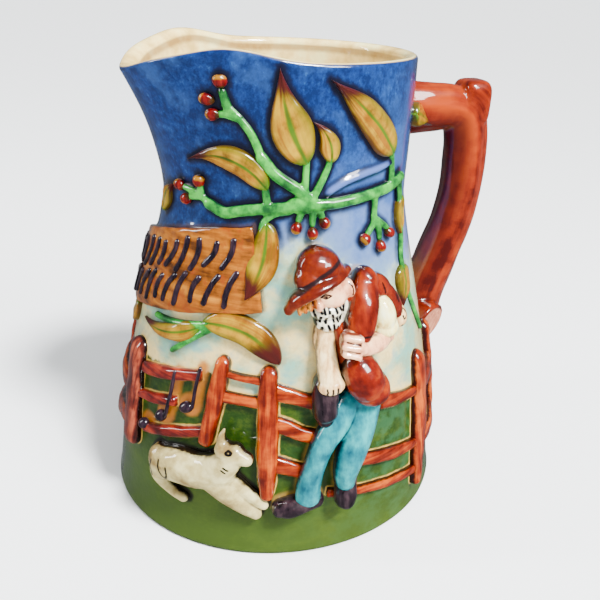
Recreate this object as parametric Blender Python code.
# A glazed earthenware jug with a musical base: one cast solid with a pouring
# lip towards -X, a branch handle towards +X and scenes in relief on its wall.
# Metres, +Z up. The finished solid stands on z = 0 with its box centred on X and Y.
import bmesh
import bpy
import math
from mathutils import Vector

# The jug's own sizes
JUG_HEIGHT = 0.200
FOOT_RADIUS = 0.077
WAIST_RADIUS = 0.0506
WAIST_HEIGHT = 0.144
FOOT_FLARE = 0.0026
FOOT_FLARE_RISE = 0.008
FOOT_ROUNDING = 0.0025
OVAL = 0.04
WALL = 0.0055
RIM_ROUNDING = 0.0018
RIM_BAND = 0.012
FLOOR_THICKNESS = 0.006
RECESS_DEPTH = 0.030
RECESS_WALL = 0.0075

# The pouring lip, which draws the round neck out to a point
LIP_HEIGHT = 0.138
LIP_REACH = 0.0205
LIP_SPREAD = math.radians(36)
LIP_DIP = 0.0065
SHOULDER_RISE = 0.004

# The handle is a thick branch with a square elbow and a sawn stub below
HANDLE_REACH = 0.038
HANDLE_TOP = 0.1745
HANDLE_FOOT = 0.070
HANDLE_DEPTH = 0.0215
HANDLE_WIDTH = 0.017
STUB_LENGTH = 0.017
STUB_RADIUS = 0.0078

# Relief: how far each kind of ornament stands off the wall, and how far it sinks in.
# Half widths and the figures are given in UNIT, so the carving grows with the jug.
SINK = 0.0025
LEAF_LIFT = 0.0032
BRANCH_RADIUS = 0.0024
TWIG_RADIUS = 0.0015
BERRY_RADIUS = 0.0024
BOARD_LIFT = 0.0035
STROKE_RADIUS = 0.0012
RAIL_LIFT = 0.0028
POST_LIFT = 0.0042
BOARD_HALF_HEIGHT = 0.0175
UNIT = 0.001
FIGURE_SCALE = 1.0

AROUND = 36
FLAT_ANGLE = math.radians(0.57)
HANDLE_ANGLE = 0.0
LIP_ANGLE = math.pi

COLOURS = {"glaze": (0.30, 0.38, 0.52, 1.0)}


def clear_scene():
    for item in list(bpy.data.objects):
        bpy.data.objects.remove(item)


# The wall of the jug

def from_lip(angle):
    turn = (angle - LIP_ANGLE + math.pi) % (2 * math.pi) - math.pi
    return abs(turn)


def round_radius(height):
    """Radius of the wall before it is made oval and drawn out at the lip."""
    rise = min(max(height, 0.0) / WAIST_HEIGHT, 1.0)
    belly = FOOT_RADIUS - WAIST_RADIUS - FOOT_FLARE
    taper = belly * max(math.cos(0.5 * math.pi * rise), 0.0) ** 1.2
    flare = FOOT_FLARE * math.exp(-max(height, 0.0) / FOOT_FLARE_RISE)
    return WAIST_RADIUS + taper + flare


def wall_radius(angle, height):
    oval = round_radius(height) * (1 + OVAL * math.cos(2 * angle))
    rise = max((height - LIP_HEIGHT) / (JUG_HEIGHT - LIP_HEIGHT), 0.0)
    lip = LIP_REACH * rise ** 1.9 * math.exp(-(from_lip(angle) / LIP_SPREAD) ** 1.4)
    return oval + lip


def rim_height(angle):
    """The rim dips at the lip and rises to a shoulder on each side of it."""
    turn = math.degrees(from_lip(angle))
    spread = 16 if turn < 47 else 20
    shoulder = SHOULDER_RISE * math.exp(-((turn - 47) / spread) ** 2)
    return JUG_HEIGHT + shoulder - LIP_DIP * math.exp(-(turn / 18) ** 2)


def on_wall(angle, height, lift=0.0):
    radius = wall_radius(angle, height) + lift
    return Vector((radius * math.cos(angle), radius * math.sin(angle), height))


def spot(degrees, percent):
    """A place on the wall: degrees around from the handle, percent of the height."""
    return math.radians(degrees), percent / 100 * JUG_HEIGHT


# Meshes

def loft(name, rings, start, end):
    """Close a run of equal rings with a fan to a point at each end."""
    mesh = bmesh.new()
    loops = [[mesh.verts.new(point) for point in ring] for ring in rings]
    first, last = mesh.verts.new(start), mesh.verts.new(end)
    count = len(loops[0])
    for lower, upper in zip(loops, loops[1:]):
        for i in range(count):
            j = (i + 1) % count
            mesh.faces.new((lower[i], lower[j], upper[j], upper[i]))
    for i in range(count):
        j = (i + 1) % count
        mesh.faces.new((first, loops[0][j], loops[0][i]))
        mesh.faces.new((last, loops[-1][i], loops[-1][j]))
    bmesh.ops.recalc_face_normals(mesh, faces=mesh.faces)
    bmesh.ops.triangulate(mesh, faces=mesh.faces)
    data = bpy.data.meshes.new(name)
    mesh.to_mesh(data)
    mesh.free()
    return bpy.data.objects.new(name, data)


def middle(points):
    return sum(points, Vector()) / len(points)


def jug_shell():
    """Foot ring, outer wall, rim, inner wall and the floor above the recess."""
    angles = [2 * math.pi * i / AROUND for i in range(AROUND)]
    floor = RECESS_DEPTH + FLOOR_THICKNESS
    straight = JUG_HEIGHT - LIP_DIP - RIM_BAND

    def ring(height, inset):
        return [on_wall(a, height, -inset) for a in angles]

    def rim_ring(below, inset):
        return [on_wall(a, rim_height(a) - below, -inset) for a in angles]

    rings = [ring(RECESS_DEPTH, RECESS_WALL), ring(0.5 * RECESS_DEPTH, RECESS_WALL)]
    rings += [ring(0.0, RECESS_WALL), ring(0.0, FOOT_ROUNDING)]
    outer_steps = 8
    for k in range(outer_steps + 1):
        height = FOOT_ROUNDING + (straight - FOOT_ROUNDING) * k / outer_steps
        rings.append(ring(height, 0.0))
    rings.append(rim_ring(RIM_ROUNDING, 0.0))
    rings.append(rim_ring(0.0, RIM_ROUNDING))
    rings.append(rim_ring(0.0, WALL - RIM_ROUNDING))
    rings.append(rim_ring(RIM_ROUNDING, WALL))
    inner_steps = 4
    for k in range(inner_steps + 1):
        height = straight + (floor - straight) * k / inner_steps
        rings.append(ring(height, WALL))
    return loft("shell", rings, Vector((0, 0, RECESS_DEPTH)), Vector((0, 0, floor)))


def branch_handle():
    """The branch leaves the neck, turns a square elbow and comes back to the belly."""
    def centre(share, height):
        return Vector((wall_radius(HANDLE_ANGLE, height) + share * HANDLE_REACH, 0, height))

    drop = HANDLE_TOP - HANDLE_FOOT
    run = [(-0.06, 0.0), (0.18, 0.0), (0.55, 0.0), (0.98, 0.005), (1.0, 0.22),
           (0.95, 0.38), (0.79, 0.54), (0.53, 0.70), (0.25, 0.86), (0.10, 1.0)]
    thick = [1.16, 1.05, 0.98, 1.27, 1.0, 1.0, 1.04, 1.08, 1.08, 0.95]
    path = [centre(share, HANDLE_TOP - fall * drop) for share, fall in run]
    rings = []
    for k, (point, swell) in enumerate(zip(path, thick)):
        ahead = path[min(k + 1, len(path) - 1)] - point
        behind = point - path[max(k - 1, 0)]
        along = (ahead.normalized() + behind.normalized()).normalized()
        across = Vector((along.z, 0, -along.x))
        ring = []
        for i in range(12):
            turn = 2 * math.pi * i / 12
            in_plane = across * (0.5 * HANDLE_DEPTH * swell * math.cos(turn))
            sideways = Vector((0, 0.5 * HANDLE_WIDTH * math.sin(turn), 0))
            ring.append(point + in_plane + sideways)
        rings.append(ring)
    branch = loft("handle", rings, path[0], path[-1])

    root = path[-2] + Vector((-0.2 * STUB_LENGTH, 0, 0))
    lean = Vector((math.sin(math.radians(50)), 0, -math.cos(math.radians(50))))
    across = Vector((lean.z, 0, -lean.x))
    rings = []
    for share, swell in ((0.0, 0.9), (0.75, 1.0), (1.0, 1.06)):
        point = root + lean * (1.25 * STUB_LENGTH * share)
        ring = []
        for i in range(12):
            turn = 2 * math.pi * i / 12
            ring.append(point + across * (STUB_RADIUS * swell * math.cos(turn))
                        + Vector((0, STUB_RADIUS * swell * math.sin(turn), 0)))
        rings.append(ring)
    stub = loft("stub", rings, middle(rings[0]), middle(rings[-1]))
    return [branch, stub]


def limb(name, stations, sides=8, square=1.0, round_ends=True):
    """A thick stroke over the wall. Each station is a place on the wall, the lift
    of its centre, its half width and its half depth."""
    flat = [(angle, height) for (angle, height), _, _, _ in stations]

    def ring_at(k, ahead, shrink):
        (angle, height), lift, width, depth = stations[k]
        a, b = flat[max(k - 1, 0)], flat[min(k + 1, len(flat) - 1)]
        reach = round_radius(height) + lift
        along = Vector(((b[0] - a[0]) * reach, b[1] - a[1])).normalized()
        points = []
        for i in range(sides):
            turn = 2 * math.pi * (i + 0.5) / sides
            c, s = math.cos(turn), math.sin(turn)
            c = math.copysign(abs(c) ** square, c)
            s = math.copysign(abs(s) ** square, s)
            x = along.x * ahead * width - along.y * c * width * shrink
            y = along.y * ahead * width + along.x * c * width * shrink
            points.append(on_wall(angle + x / reach, height + y, lift + s * depth * shrink))
        return points

    last = len(stations) - 1
    rings = [ring_at(k, 0.0, 1.0) for k in range(last + 1)]
    if round_ends:
        rings = [ring_at(0, -0.7, 0.7)] + rings + [ring_at(last, 0.7, 0.7)]
        start = middle(ring_at(0, -1.0, 0.1))
        end = middle(ring_at(last, 1.0, 0.1))
    else:
        start, end = middle(rings[0]), middle(rings[-1])
    return loft(name, rings, start, end)


def blob(name, place, lift, radii, tilt=0.0, sides=8, rows=2):
    """An egg on the wall: radii are half width, half height and half depth."""
    angle, height = place
    wide, tall, deep = [FIGURE_SCALE * r for r in radii]
    reach = round_radius(height) + lift
    lean = math.radians(tilt)

    def point(up, turn):
        size = math.sqrt(max(1 - up * up, 0.0))
        x, y = wide * size * math.cos(turn), tall * up
        u = x * math.cos(lean) - y * math.sin(lean)
        v = x * math.sin(lean) + y * math.cos(lean)
        return on_wall(angle + u / reach, height + v, lift + deep * size * math.sin(turn))

    ups = [math.sin(math.pi * ((k + 1) / (rows + 1) - 0.5)) for k in range(rows)]
    rings = [[point(up, 2 * math.pi * (i + 0.5) / sides) for i in range(sides)] for up in ups]
    return loft(name, rings, point(-1.0, 0.0), point(1.0, 0.0))


def leaf(name, base, tip, half_width, bow=0.0, steps=4):
    """A pointed leaf with a crease, bowed to its left by a share of its length."""
    reach = round_radius(0.5 * (base[1] + tip[1])) + LEAF_LIFT
    span = Vector(((tip[0] - base[0]) * reach, tip[1] - base[1]))
    side = Vector((-span.y, span.x))

    def mid(t):
        return span * t + side * (bow * 4 * t * (1 - t))

    def place(spread, lift, t):
        along = (mid(t + 0.01) - mid(t - 0.01)).normalized()
        flat = mid(t) + Vector((-along.y, along.x)) * spread
        return on_wall(base[0] + flat.x / reach, base[1] + flat.y, lift)

    rings = []
    for k in range(1, steps):
        t = k / steps
        swell = math.sin(math.pi * t ** 0.85) ** 0.8
        width = half_width * swell
        crown = LEAF_LIFT * (0.55 + 0.45 * swell)
        rings.append([place(-width, 0.2 * crown, t), place(0.0, crown, t),
                      place(width, 0.2 * crown, t), place(0.0, -SINK, t)])
    return loft(name, rings, place(0, -0.2 * SINK, 0.0), place(0, -0.2 * SINK, 1.0))


# Ornament, read from left to right on the walker's side

def stem(name, radius, *places):
    stations = [(spot(*place), 0.3 * UNIT, radius, radius) for place in places]
    return limb(name, stations, sides=5, round_ends=False)


def berries(name, *places):
    size = BERRY_RADIUS
    return [blob(f"{name}{k}", spot(*place), 0.35 * size, (size, size, size), sides=5)
            for k, place in enumerate(places)]


def gum_branch():
    """The leafy branch with its nuts that crosses under the rim."""
    thin, thick = TWIG_RADIUS, BRANCH_RADIUS
    pieces = [
        stem("bough", thick, (312, 77), (303, 76), (287, 75.5), (273, 74.7), (257, 74.5)),
        stem("bough_left", thick, (257, 74.5), (237, 73.6), (225, 72.3), (216, 73.6)),
        stem("twig_high", thin, (258, 76.5), (243, 81), (233, 89.5), (226, 93.5)),
        stem("twig_left", thin, (218, 73.3), (211, 75), (205, 75.5)),
        stem("twig_leaf", thin, (257, 75), (257.5, 83)),
        stem("twig_small", thin, (262, 76), (271, 83.5)),
        stem("twig_hang", thin, (252, 74), (243, 71.5), (240.5, 69.5)),
        stem("twig_nuts", thin, (263, 74.5), (263, 71.5)),
        stem("twig_right", thin, (294, 75.5), (294.5, 71), (296, 67.5)),
        stem("vine", thin, (316, 77), (321, 70), (317, 60), (315, 52)),
        leaf("leaf_tall", spot(257, 82.8), spot(248, 99.3), 7.8 * UNIT, 0.10),
        leaf("leaf_curl", spot(271.5, 83.5), spot(258.5, 91.5), 3.4 * UNIT, -0.22),
        leaf("leaf_long", spot(304, 83.5), spot(267.7, 97), 6.2 * UNIT, -0.06),
        leaf("leaf_arch", spot(243, 78.5), spot(208, 81.5), 4.8 * UNIT, -0.18),
        leaf("leaf_hang", spot(240, 69.8), spot(239.5, 59), 5 * UNIT, 0.02),
        leaf("leaf_vine", spot(307, 60.5), spot(313, 51.5), 3.4 * UNIT, 0.06),
        leaf("leaf_edge", spot(322, 79), spot(317, 67), 3.6 * UNIT, -0.12),
        leaf("leaf_under", spot(219, 50.3), spot(249, 45.5), 5.4 * UNIT, 0.16),
        leaf("leaf_below", spot(220, 50), spot(186, 47.5), 3.6 * UNIT, -0.05),
    ]
    pieces += berries("nut_high", (225, 96.9), (219.2, 93.4), (221.7, 90.9))
    pieces += berries("nut_left", (201.4, 75.8), (212.5, 77.5), (204.7, 73.5))
    pieces += berries("nut_mid", (255.3, 70.2), (263.6, 68.7), (267.8, 70.9))
    pieces += berries("nut_right", (288.1, 66.9), (297.2, 64.7), (304.6, 66.8))
    return pieces


def sign_board():
    """A slanted board under the lip, with two rows of plain strokes for its words."""
    low, high = spot(152, 50), spot(239, 62.5)
    half_height = BOARD_HALF_HEIGHT
    columns = 9
    stations = []
    for k in range(columns + 1):
        t = k / columns
        place = (low[0] + (high[0] - low[0]) * t, low[1] + (high[1] - low[1]) * t)
        stations.append((place, 0.5 * (BOARD_LIFT - SINK), half_height,
                         0.5 * (BOARD_LIFT + SINK)))
    pieces = [limb("board", stations, sides=4, square=0.25, round_ends=False)]
    for row, count in ((0.45, 6), (-0.45, 6)):
        for k in range(count):
            t = (k + 0.5) / count * 0.9 + 0.05
            angle = low[0] + (high[0] - low[0]) * t
            height = low[1] + (high[1] - low[1]) * t + row * half_height
            lean = math.radians(2.6 if k % 2 else 1.2)
            tall = 6.2 * UNIT if k % 3 else 4.6 * UNIT
            ends = ((angle - lean, height - tall), (angle + lean, height + tall))
            steps = [(end, BOARD_LIFT, STROKE_RADIUS, STROKE_RADIUS) for end in ends]
            pieces.append(limb(f"stroke{row > 0}{k}", steps, sides=4, round_ends=False))
    return pieces


def plank(name, start, end, half_width, lift):
    depth = 0.5 * (lift + SINK)
    bends = 1 + int(abs(end[0] - start[0]) / 14)
    stations = []
    for k in range(bends + 1):
        t = k / bends
        place = (start[0] + (end[0] - start[0]) * t, start[1] + (end[1] - start[1]) * t)
        stations.append((spot(*place), depth - SINK, half_width, depth))
    return limb(name, stations, sides=4, square=0.3, round_ends=False)


def post(name, top, bottom, half_width, sides=6):
    depth = 0.5 * (POST_LIFT + SINK)
    middle_place = (0.5 * (top[0] + bottom[0]), 0.5 * (top[1] + bottom[1]))
    stations = [(spot(*top), depth - SINK, 0.8 * half_width, depth),
                (spot(*middle_place), depth - SINK, half_width, depth),
                (spot(*bottom), depth - SINK, 0.9 * half_width, depth)]
    return limb(name, stations, sides=sides, square=0.7)


def front_fence():
    """Gate, posts and slanting rails behind the lamb and the walker."""
    rails = [
        ((196, 36), (221, 39.5), 2.4 * UNIT), ((194, 29.5), (213, 32.5), 2.1 * UNIT),
        ((200, 23), (224, 28.3), 2.2 * UNIT), ((230, 41.5), (244, 40.3), 1.4 * UNIT),
        ((229, 36.4), (244, 36.2), 2.3 * UNIT), ((249, 38.4), (266, 35.6), 3.2 * UNIT),
        ((249, 31.6), (266, 27.6), 3.3 * UNIT), ((249, 22.8), (262, 20.2), 3.3 * UNIT),
        ((292, 32.2), (312, 30), 2.6 * UNIT), ((282, 20.9), (312, 17.3), 2.6 * UNIT),
        ((282, 13.6), (312, 10.2), 2.1 * UNIT),
    ]
    pieces = [plank(f"rail{k}", *rail, RAIL_LIFT) for k, rail in enumerate(rails)]
    pieces += [
        post("gate_post", (189, 37), (192.5, 19.5), 6.2 * UNIT),
        post("short_post", (229, 43), (226.5, 27.5), 4.4 * UNIT),
        post("tall_post", (246.5, 41.5), (247, 17), 4.6 * UNIT),
        post("right_post", (315, 35.5), (310, 8), 5 * UNIT),
    ]
    return pieces


def back_fence():
    """The same fence carried round behind the jug, plainer."""
    posts = (345, 387, 429, 471, 511)
    pieces = [post(f"back_post{k}", (at, 36), (at + 1.5, 10), 4.8 * UNIT, sides=4)
              for k, at in enumerate(posts)]
    ends = (313,) + posts + (549,)
    for k, (left, right) in enumerate(zip(ends, ends[1:])):
        for level, percent in enumerate((30, 16)):
            pieces.append(plank(f"back_rail{k}_{level}", (left + 2, percent),
                                (right - 1, percent - 1.5), 3.4 * UNIT, RAIL_LIFT))
    return pieces


def notes():
    """Three musical notes on the gate: round heads and two stems."""
    pieces = [blob(f"note{k}", spot(*place), 2.2 * UNIT, (3.4 * UNIT, 2.4 * UNIT, 3 * UNIT), tilt=20,
                   sides=6) for k, place in enumerate(((218, 32.6), (208, 28.6), (200, 24.3)))]
    pieces.append(stem("note_stem0", 1.4 * UNIT, (219.5, 32.5), (221, 40)))
    pieces.append(stem("note_stem1", 1.4 * UNIT, (209.5, 28.5), (211.5, 38.5)))
    return pieces


def body_limb(name, rows, sides=6):
    """Rows give degrees, percent, then lift, half width and half depth in UNIT."""
    scale = FIGURE_SCALE * UNIT
    stations = [(spot(degrees, percent), lift * scale, width * scale, depth * scale)
                for degrees, percent, lift, width, depth in rows]
    return limb(name, stations, sides=sides)


def body_blob(name, degrees, percent, lift, wide, tall, deep, tilt=0.0, **grid):
    radii = (wide * UNIT, tall * UNIT, deep * UNIT)
    return blob(name, spot(degrees, percent), lift * FIGURE_SCALE * UNIT, radii, tilt, **grid)


def lamb():
    """A lamb resting on the grass with its head raised."""
    return [
        body_limb("lamb_body", [(214, 18.5, 3, 7.5, 6), (222, 21.5, 3.5, 7, 6.5),
                                (231, 22, 4, 6, 6)]),
        body_limb("lamb_neck", [(231, 22.5, 5, 5, 5), (236, 27, 7, 4, 4)]),
        body_blob("lamb_head", 238.5, 28.2, 8, 6.0, 3.9, 4.2, tilt=-12),
        body_blob("lamb_ear", 235.3, 30.6, 5.5, 2.2, 3.2, 4.0, tilt=25, sides=6),
        body_limb("lamb_hind", [(213, 17.5, 3, 4, 3.5), (221, 13.6, 2, 2, 2.5)], sides=6),
        body_limb("lamb_fore", [(231, 19.5, 3, 3, 3.5), (237, 17, 3, 2.2, 2.8),
                                (242.5, 12.5, 2, 2, 2.4)], sides=6),
        body_limb("lamb_fore_far", [(236, 18.5, 2.5, 2.4, 3), (245, 14, 1.5, 1.9, 2.2)],
                  sides=6),
        body_limb("lamb_tail", [(211, 19, 2, 2.2, 2.5), (209.5, 15, 1.5, 1.8, 2.2)], sides=6),
    ]


def walker():
    """The bearded walker with his swag, tucker bag and billy, in high relief."""
    return [
        body_blob("hat_crown", 261.5, 64.8, 7, 8.2, 7.6, 6.8, rows=3),
        body_blob("hat_brim", 262.5, 60.7, 8, 13.0, 2.9, 6.5, tilt=29),
        body_blob("head", 267, 58.8, 4.5, 7.6, 8.2, 6.8),
        body_blob("beard", 266.5, 54.8, 5.5, 6.0, 5.6, 6.0),
        body_limb("trunk", [(278, 58, 0, 9, 8), (276, 49, 1, 11, 9), (277, 38, 0, 10, 9)],
                  sides=8),
        body_limb("upper_arm", [(281.5, 59.5, 7, 5.5, 6.5), (275.5, 52, 9.5, 6.3, 7)]),
        body_limb("forearm", [(291, 47.6, 5, 4.5, 6), (282.5, 48.3, 9, 4.6, 6),
                              (275, 49.8, 12, 4.4, 6)]),
        body_blob("fist", 273, 50.2, 12.5, 4.8, 5.2, 5.4),
        body_blob("tucker_bag", 288, 53, 4, 6.0, 9.5, 6.0, tilt=4),
        body_limb("strap", [(287.5, 59, 4, 2.8, 4), (292.5, 55.5, 4, 2.8, 4),
                            (296, 51, 2, 2.6, 4)], sides=6),
        body_blob("swag", 278, 42, 9, 9.6, 11.5, 11.0, tilt=-22, sides=10, rows=4),
        body_limb("right_arm", [(268.5, 54.5, 3, 4.6, 5), (266.5, 47, 5, 4.8, 5.5),
                                (266, 42.5, 7, 4.8, 5.5)]),
        body_blob("right_hand", 267, 41, 8.5, 6.2, 4.8, 4.6),
        body_limb("billy", [(266, 39.2, 4, 5.6, 6.6), (266, 34, 3.5, 5.2, 6)], sides=8),
        body_blob("hips", 279, 35.5, 3, 8.5, 7.0, 7.5),
        body_limb("near_leg", [(281, 35.5, 4, 7.5, 6), (275, 26.5, 5.5, 6.2, 6),
                               (272.3, 20.5, 5, 5.2, 5.5)]),
        body_limb("far_leg", [(275, 34.5, 3, 6, 6), (266, 30, 5, 5.2, 6), (262, 23.5, 4.5, 4.8, 5),
                              (260.5, 17.5, 3.5, 5.6, 4.8)]),
        body_limb("far_boot", [(262.5, 14.2, 3, 3.2, 4.4), (253.5, 13.6, 3, 3.9, 4.8)]),
        body_limb("near_boot", [(273, 18, 4.5, 3.8, 4.6), (272.6, 15.8, 5.5, 4.4, 5.2)]),
    ]


def back_branch():
    """A plainer branch on the far side, with leaves and one bunch of nuts."""
    thin, thick = TWIG_RADIUS, BRANCH_RADIUS
    pieces = [
        stem("back_bough", thick, (50, 77), (68, 75.5), (90, 75), (112, 73.5), (132, 75)),
        stem("back_twig0", thin, (68, 76), (62, 84)),
        stem("back_twig1", thin, (104, 75), (110, 83)),
        stem("back_twig2", thin, (86, 75), (84, 68)),
        leaf("back_leaf0", spot(62, 83.5), spot(50, 95.5), 6 * UNIT, 0.10),
        leaf("back_leaf1", spot(110, 82.5), spot(104, 98), 7 * UNIT, -0.08),
        leaf("back_leaf2", spot(131, 75.5), spot(152, 84), 5 * UNIT, 0.12),
        leaf("back_leaf3", spot(76, 74.5), spot(70, 61), 5.2 * UNIT, 0.08),
        leaf("back_leaf4", spot(112, 72.5), spot(120, 58), 5.2 * UNIT, -0.08),
        leaf("back_leaf5", spot(92, 76), spot(80, 92), 5.8 * UNIT, 0.08),
    ]
    return pieces + berries("back_nut", (84, 66), (78, 64.6), (90, 64.4))


# Assembly

def glaze_material(name):
    material = bpy.data.materials.new(name)
    material.use_nodes = True
    shader = material.node_tree.nodes["Principled BSDF"]
    shader.inputs["Base Color"].default_value = COLOURS[name]
    shader.inputs["Roughness"].default_value = 0.12
    shader.inputs["Metallic"].default_value = 0.0
    return material


def fuse(body, pieces):
    """Union the body with every piece of relief, and keep the resulting mesh."""
    relief = bpy.data.collections.new("relief")
    bpy.context.scene.collection.children.link(relief)
    for piece in pieces:
        relief.objects.link(piece)
    union = body.modifiers.new("relief", 'BOOLEAN')
    union.operation = 'UNION'
    union.solver = 'EXACT'
    union.operand_type = 'COLLECTION'
    union.collection = relief
    graph = bpy.context.evaluated_depsgraph_get()
    fused = bpy.data.meshes.new_from_object(body.evaluated_get(graph), depsgraph=graph)
    body.modifiers.clear()
    body.data = fused
    for piece in pieces:
        bpy.data.objects.remove(piece)
    bpy.data.collections.remove(relief)


def join_flat_faces(body):
    """Faces that the union split but that still lie flat become one face again."""
    mesh = bmesh.new()
    mesh.from_mesh(body.data)
    bmesh.ops.dissolve_limit(mesh, angle_limit=FLAT_ANGLE, verts=mesh.verts, edges=mesh.edges)
    bmesh.ops.triangulate(mesh, faces=mesh.faces)
    mesh.to_mesh(body.data)
    mesh.free()


def stand_at_origin(body):
    """Centre the box on X and Y and rest it on z = 0."""
    corners = [v.co for v in body.data.vertices]
    low = Vector([min(c[i] for c in corners) for i in range(3)])
    high = Vector([max(c[i] for c in corners) for i in range(3)])
    shift = Vector((0.5 * (low.x + high.x), 0.5 * (low.y + high.y), low.z))
    for vertex in body.data.vertices:
        vertex.co -= shift


def build():
    clear_scene()
    jug = jug_shell()
    jug.name = "jug"
    bpy.context.scene.collection.objects.link(jug)
    pieces = branch_handle() + gum_branch() + sign_board() + front_fence() + back_fence()
    pieces += notes() + lamb() + walker() + back_branch()
    fuse(jug, pieces)
    join_flat_faces(jug)
    stand_at_origin(jug)
    jug.data.materials.clear()
    jug.data.materials.append(glaze_material("glaze"))
    jug.data.shade_smooth()
    jug.data.set_sharp_from_angle(angle=math.radians(38))


build()
